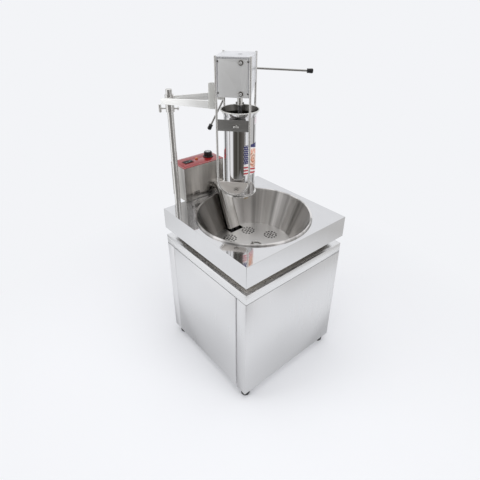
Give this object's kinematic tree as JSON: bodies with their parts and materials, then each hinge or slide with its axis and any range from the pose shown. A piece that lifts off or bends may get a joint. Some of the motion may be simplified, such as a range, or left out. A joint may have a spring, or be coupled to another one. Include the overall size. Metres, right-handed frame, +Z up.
{
  "type": "churro maker",
  "caption": "Churro maker: a steel fryer cabinet with an oil bowl and an upright heater box, and a swinging extruder with a crank, rack and piston over the bowl.",
  "frame": {"origin": "on the floor, under the middle of the object's bounding box", "axes": "+Z up; -Y towards the door; -X towards the heater's control box"},
  "size_m": [0.759, 0.65, 1.595],
  "materials": {
    "cabinet_steel": "satin",
    "mirror_steel": "mirror polish",
    "polished_steel": "polished",
    "bowl_steel": "brushed",
    "dark_steel": "dark",
    "red_panel": "gloss",
    "black_plastic": "matte",
    "amber_lens": "clear",
    "rubber_black": "matte",
    "white_plastic": "gloss",
    "bronze": "machined",
    "seal_rubber": "food grade"
  },
  "bodies": {
    "cabinet": {"base_pan": "cabinet_steel", "left_side_panel": "cabinet_steel", "right_side_panel": "cabinet_steel", "back_panel": "cabinet_steel", "front_stiles": "cabinet_steel", "cabinet_top": "cabinet_steel", "door_pins": "polished_steel", "magnet_catch": "white_plastic", "feet": "rubber_black", "recess_plinth": "dark_steel", "worktop": "mirror_steel", "oil_bowl": "bowl_steel", "control_box": "polished_steel", "control_panel": "red_panel", "thermostat": "white_plastic", "indicator_lamp": "amber_lens", "switch_body": "black_plastic", "terminal_block": "white_plastic", "cable_gland": "black_plastic", "hanger_bracket": "polished_steel", "element_guard": "polished_steel", "heating_element": "dark_steel", "post": "polished_steel", "post_socket": "dark_steel"},
    "door": {"door_skin": "cabinet_steel", "door_liner": "cabinet_steel"},
    "strainer": {"strainer_disc": "bowl_steel", "lift_clip": "bowl_steel"},
    "strainer_ring": {"lift_ring": "polished_steel"},
    "knob": {"control_knob": "black_plastic"},
    "rocker": {"rocker_key": "black_plastic"},
    "collar": {"height_collar": "polished_steel"},
    "clamp": {"clamp_screw": "polished_steel"},
    "lock": {"lock_screw": "polished_steel"},
    "arm": {"arm_hub": "polished_steel", "arm_bars": "polished_steel", "arm_brackets": "polished_steel", "front_frame_rod": "polished_steel", "rear_frame_rod": "polished_steel", "strap_plates": "dark_steel", "half_moon_plates": "polished_steel", "gear_case": "polished_steel", "gear_front_plate": "polished_steel", "gear_back_plate": "polished_steel", "shaft_bushes": "bronze", "guide_bolts": "polished_steel", "cover_screws": "polished_steel", "rack_guide": "polished_steel", "barrel": "mirror_steel", "die_plate": "polished_steel", "die_wing_nuts": "bronze"},
    "upper_screw": {"upper_thumb_screw": "polished_steel"},
    "lower_screw": {"lower_thumb_screw": "polished_steel"},
    "crank": {"crank_shaft": "dark_steel", "crank_arms": "polished_steel", "crank_grips": "black_plastic"},
    "plunger": {"rack": "dark_steel", "piston": "white_plastic", "piston_seal": "seal_rubber"}
  },
  "joints": [
    {"name": "door_hinge", "type": "hinge", "parent": "cabinet", "child": "door", "pos_m": [-0.197, -0.316, 0.048], "axis": [0, 0, -1], "range_deg": [0, 110]},
    {"name": "strainer_lift", "type": "slide", "parent": "cabinet", "child": "strainer", "axis": [0, 0, 1], "range_m": [0, 0.18]},
    {"name": "strainer_ring_fold", "type": "hinge", "parent": "strainer", "child": "strainer_ring", "pos_m": [0.0665, -0.008, 0.6756], "axis": [0, -1, 0], "range_deg": [0, 90]},
    {"name": "knob_turn", "type": "hinge", "parent": "cabinet", "child": "knob", "pos_m": [-0.3215, 0.002, 1.036], "axis": [0, 0, -1], "range_deg": [0, 270]},
    {"name": "rocker_tilt", "type": "hinge", "parent": "cabinet", "child": "rocker", "pos_m": [-0.3185, -0.13, 1.034], "axis": [-1, 0, 0], "range_deg": [0, 14]},
    {"name": "arm_height", "type": "slide", "parent": "cabinet", "child": "collar", "axis": [0, 0, 1], "range_m": [-0.06, 0.02]},
    {"name": "clamp_screw_turn", "type": "hinge", "parent": "collar", "child": "clamp", "pos_m": [-0.2405, -0.255, 1.35391], "axis": [-0.6494, -0.7604, 0], "range_deg": [-180, 180]},
    {"name": "lock_screw_turn", "type": "hinge", "parent": "collar", "child": "lock", "pos_m": [-0.2405, -0.255, 1.35391], "axis": [0.6494, 0.7604, 0], "range_deg": [-180, 180]},
    {"name": "arm_swing", "type": "hinge", "parent": "collar", "child": "arm", "pos_m": [-0.2405, -0.255, 1.339], "axis": [0, 0, 1], "range_deg": [-50, 20]},
    {"name": "upper_thumb_screw_turn", "type": "hinge", "parent": "arm", "child": "upper_screw", "pos_m": [-0.00492, -0.03841, 1.311], "axis": [0.6494, -0.7604, 0], "range_deg": [-180, 180]},
    {"name": "lower_thumb_screw_turn", "type": "hinge", "parent": "arm", "child": "lower_screw", "pos_m": [-0.00492, -0.03841, 1.012], "axis": [0.6494, -0.7604, 0], "range_deg": [-180, 180]},
    {"name": "crank_turn", "type": "hinge", "parent": "arm", "child": "crank", "pos_m": [-0.02241, -0.05335, 1.521], "axis": [0.6494, -0.7604, 0], "range_deg": [0, 1289.14]},
    {"name": "rack_slide", "type": "slide", "parent": "arm", "child": "plunger", "axis": [0, 0, 1], "range_m": [0, 0.36]}
  ],
  "couplings": [
    {"joint": "rack_slide", "follows": "crank_turn", "m_per_rad": 0.016}
  ]
}
